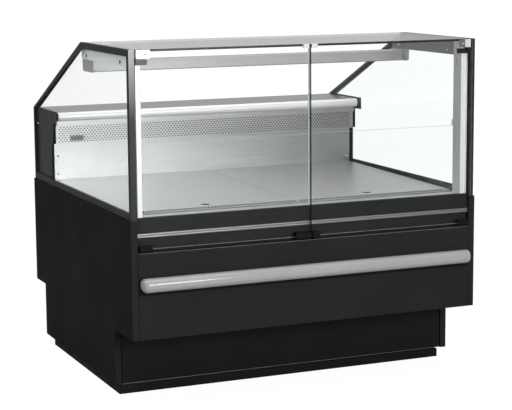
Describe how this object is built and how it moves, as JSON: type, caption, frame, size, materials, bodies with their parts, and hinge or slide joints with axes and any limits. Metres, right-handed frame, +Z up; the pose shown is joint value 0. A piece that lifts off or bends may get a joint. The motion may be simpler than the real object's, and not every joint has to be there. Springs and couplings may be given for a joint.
{
  "type": "refrigerated deli case",
  "caption": "Flat-glass refrigerated serve-over counter with hinged front panes, stepped black body, bumper, steel display deck and rear worktop.",
  "frame": {"origin": "on the floor under the middle of the case's overall footprint", "axes": "+X to the customer's right along the case, +Y from the customer towards the operator, +Z up"},
  "size_m": [1.35, 1.247, 1.237],
  "materials": {
    "black_panel": "fine-textured black powder coat",
    "black_matt": "matt black paint",
    "galvanised": "galvanised sheet",
    "aluminium": "satin anodised",
    "bumper_grey": "satin light grey PVC",
    "foam_white": "white liner over foam",
    "stainless": "brushed stainless sheet",
    "clear_glass": "clear toughened glass",
    "cap_grey": "moulded grey plastic",
    "insulated_glass": "double glazed unit with a black printed border",
    "pale_top": "pale toughened glass top",
    "lamp_grey": "satin lamp extrusion",
    "lamp_white": "opal diffuser",
    "clamp_chrome": "polished clamp",
    "hinge_black": "black glass-filled nylon",
    "fin_metal": "finned coil",
    "fan_plastic": "black fan moulding",
    "compressor_black": "gloss black enamel",
    "switch_black": "black switch moulding",
    "button_grey": "grey key caps"
  },
  "bodies": {
    "case": {"base_frame": "black_matt", "machine_tray": "galvanised", "end_panel_left": "black_panel", "end_panel_right": "black_panel", "kick_plate": "black_panel", "rear_vent_panel": "black_panel", "lower_front_panel": "black_panel", "rear_body_panel": "black_panel", "front_band": "black_panel", "trim_strip": "aluminium", "corner_post_left": "aluminium", "corner_post_right": "aluminium", "side_rail_left": "aluminium", "side_rail_right": "aluminium", "bumper_bar": "bumper_grey", "bumper_cap_left": "bumper_grey", "bumper_cap_right": "bumper_grey", "insulated_tub": "foam_white", "front_sill": "stainless", "rear_wall": "stainless", "air_grille": "stainless", "worktop": "stainless", "operator_panel": "stainless", "inner_glass": "clear_glass", "temperature_plate": "cap_grey", "side_glass_left": "insulated_glass", "side_glass_right": "insulated_glass", "roof_glass": "pale_top", "lamp_housing": "lamp_grey", "lamp_end_left": "lamp_grey", "lamp_end_right": "lamp_grey", "lamp_diffuser": "lamp_white", "hinge_bracket_left": "hinge_black", "hinge_bracket_right": "hinge_black", "cable_gland": "hinge_black", "condenser": "fin_metal", "evaporator": "fin_metal", "compressor": "compressor_black", "control_panel": "switch_black"},
    "door_left": {"door_left_glass": "clear_glass", "door_left_top_clamp": "clamp_chrome", "door_left_foot_clamp": "hinge_black", "door_left_grip": "hinge_black", "door_left_clip": "clamp_chrome"},
    "door_right": {"door_right_glass": "clear_glass", "door_right_top_clamp": "clamp_chrome", "door_right_foot_clamp": "hinge_black", "door_right_grip": "hinge_black", "door_right_clip": "clamp_chrome"},
    "deck_left": {"deck_plate_left": "stainless"},
    "deck_right": {"deck_plate_right": "stainless"},
    "condenser_fan": {"condenser_fan": "fan_plastic"},
    "evaporator_fan": {"evaporator_fan": "fan_plastic"},
    "power_switch": {"power_switch": "switch_black"},
    "light_switch": {"light_switch": "switch_black"},
    "button_up": {"button_up": "button_grey"},
    "button_down": {"button_down": "button_grey"}
  },
  "joints": [
    {"name": "door_left_hinge", "type": "hinge", "parent": "case", "child": "door_left", "pos_m": [-0.64, -0.5765, 0.9], "axis": [0, 0, -1], "range_deg": [0, 95]},
    {"name": "door_right_hinge", "type": "hinge", "parent": "case", "child": "door_right", "pos_m": [0.64, -0.5765, 0.9], "axis": [0, 0, 1], "range_deg": [0, 95]},
    {"name": "deck_left_lift", "type": "slide", "parent": "case", "child": "deck_left", "axis": [0, 0, 1], "range_m": [0, 0.12]},
    {"name": "deck_right_lift", "type": "slide", "parent": "case", "child": "deck_right", "axis": [0, 0, 1], "range_m": [0, 0.12]},
    {"name": "condenser_fan_spin", "type": "hinge", "parent": "case", "child": "condenser_fan", "pos_m": [-0.39, 0.3585, 0.152], "axis": [0, 1, 0], "continuous": true},
    {"name": "evaporator_fan_spin", "type": "hinge", "parent": "case", "child": "evaporator_fan", "pos_m": [0, 0.0285, 0.42], "axis": [0, 1, 0], "continuous": true},
    {"name": "power_switch_rock", "type": "hinge", "parent": "case", "child": "power_switch", "pos_m": [0.448, 0.6165, 0.804], "axis": [1, 0, 0], "range_deg": [0, 13.8]},
    {"name": "light_switch_rock", "type": "hinge", "parent": "case", "child": "light_switch", "pos_m": [0.488, 0.6165, 0.804], "axis": [1, 0, 0], "range_deg": [0, 13.8]},
    {"name": "button_up_press", "type": "slide", "parent": "case", "child": "button_up", "axis": [0, -1, 0], "range_m": [0, 0.0012], "stiffness_N_per_m": 400, "springref_m": -0.002},
    {"name": "button_down_press", "type": "slide", "parent": "case", "child": "button_down", "axis": [0, -1, 0], "range_m": [0, 0.0012], "stiffness_N_per_m": 400, "springref_m": -0.002}
  ]
}
